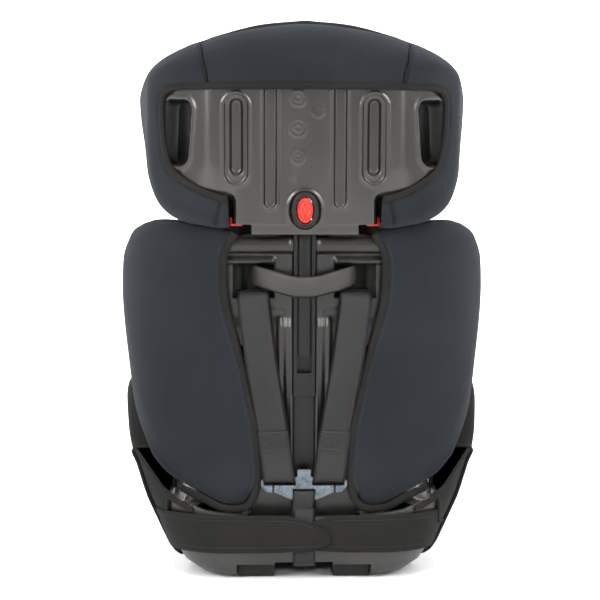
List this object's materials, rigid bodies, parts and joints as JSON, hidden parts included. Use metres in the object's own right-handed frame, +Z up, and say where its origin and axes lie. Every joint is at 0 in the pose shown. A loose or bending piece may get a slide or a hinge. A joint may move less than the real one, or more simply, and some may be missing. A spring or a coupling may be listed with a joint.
{
  "type": "child car seat",
  "caption": "High-back child car seat with height-adjustable winged headrest, reclining backrest, rear harness yoke, buckle and padded seat base.",
  "frame": {"origin": "centre of the seat's box, on the surface it stands on", "axes": "+Z up, the child faces -Y, +X is the child's left; the rear of the seat faces +Y"},
  "size_m": [0.4308, 0.5098, 0.6221],
  "materials": {
    "navy_fabric": "soft knitted polyester over thin foam",
    "black_fabric": "matt woven polyester",
    "elastic_band": "ribbed elastic",
    "shell_plastic": "blow-moulded polyethylene, faint vertical streaks",
    "black_plastic": "fine grain",
    "red_plastic": "smooth moulded",
    "webbing": "woven polyester webbing",
    "zinc_steel": "zinc plated, rolled edges bright",
    "spring_steel": "drawn wire",
    "rubber_foot": "moulded, rubbed on the sole"
  },
  "bodies": {
    "base": {"seat_base_shell": "shell_plastic", "seat_pan": "shell_plastic", "seat_pad": "navy_fabric", "adjuster_strap_lower": "webbing", "adjuster_housing": "black_plastic", "adjuster_pin": "zinc_steel", "adjuster_spring": "spring_steel", "adjuster_pull_strap": "webbing", "crotch_strap": "webbing", "crotch_anchor": "zinc_steel", "crotch_pad": "black_fabric", "buckle_housing": "black_plastic", "buckle_spring": "spring_steel", "lap_anchors": "zinc_steel", "runner_left": "rubber_foot", "runner_right": "rubber_foot", "seat_side_cover_left": "black_fabric", "seat_side_cover_right": "black_fabric", "rear_band_left": "elastic_band", "rear_band_right": "elastic_band", "harness_tongue_left": "zinc_steel", "harness_tongue_right": "zinc_steel", "shoulder_strap_lower_left": "webbing", "shoulder_strap_lower_right": "webbing", "lap_strap_left": "webbing", "lap_strap_right": "webbing"},
    "backrest": {"backrest_shell": "shell_plastic", "hinge_pin": "zinc_steel", "height_rack": "zinc_steel", "rack_rivets": "zinc_steel", "backrest_pad": "black_fabric", "pad_link_strap": "webbing", "adjuster_strap_loop": "webbing", "ear_cover_left": "navy_fabric", "ear_cover_right": "navy_fabric", "backrest_bolster_left": "navy_fabric", "backrest_bolster_right": "navy_fabric", "shoulder_strap_rear_left": "webbing", "shoulder_strap_rear_right": "webbing", "shoulder_strap_front_left": "webbing", "shoulder_strap_front_right": "webbing", "shoulder_pad_left": "black_fabric", "shoulder_pad_right": "black_fabric"},
    "yoke": {"yoke_plate": "zinc_steel"},
    "headrest": {"headrest_shell": "shell_plastic", "headrest_pad": "navy_fabric", "headrest_cover": "navy_fabric", "headrest_slider": "black_plastic", "slider_screws": "zinc_steel", "button_bezel": "black_plastic", "latch_spring": "spring_steel", "latch_pin": "zinc_steel", "shoulder_belt_guide_left": "red_plastic", "shoulder_belt_guide_right": "red_plastic"},
    "release_button": {"release_button": "red_plastic"},
    "latch_lever": {"latch_lever": "black_plastic"},
    "adjuster_lever": {"adjuster_lever": "zinc_steel"},
    "buckle_button": {"buckle_button": "red_plastic"}
  },
  "joints": [
    {"name": "backrest_recline", "type": "hinge", "parent": "base", "child": "backrest", "pos_m": [0, 0.15222, 0.072], "axis": [1, 0, 0], "range_deg": [-12, 0], "deforming": ["adjuster_strap_loop"]},
    {"name": "harness_yoke_slide", "type": "slide", "parent": "backrest", "child": "yoke", "axis": [0, 0.1392, 0.9903], "range_m": [0, 0.12], "deforming": ["shoulder_strap_rear_left", "shoulder_strap_rear_right", "adjuster_strap_loop"]},
    {"name": "headrest_slide", "type": "slide", "parent": "backrest", "child": "headrest", "axis": [0, 0.1392, 0.9903], "range_m": [0, 0.108]},
    {"name": "release_button_press", "type": "slide", "parent": "headrest", "child": "release_button", "axis": [0, -0.9903, 0.1392], "range_m": [0, 0.004], "stiffness_N_per_m": 700, "springref_m": -0.001},
    {"name": "latch_lever_tilt", "type": "hinge", "parent": "headrest", "child": "latch_lever", "pos_m": [0, 0.19357, 0.32672], "axis": [1, 0, 0], "range_deg": [0, 2.64], "deforming": ["latch_spring"]},
    {"name": "adjuster_lever_press", "type": "hinge", "parent": "base", "child": "adjuster_lever", "pos_m": [0, -0.22978, 0.062], "axis": [1, 0, 0], "range_deg": [0, 12], "stiffness_Nm_per_rad": 0.6, "springref_deg": -11.46, "deforming": ["adjuster_spring"]},
    {"name": "buckle_button_press", "type": "slide", "parent": "base", "child": "buckle_button", "axis": [0, 1, 0], "range_m": [0, 0.0035], "stiffness_N_per_m": 700, "springref_m": -0.001, "deforming": ["buckle_spring"]}
  ],
  "couplings": [
    {"joint": "latch_lever_tilt", "follows": "release_button_press", "rad_per_m": 11.5}
  ]
}
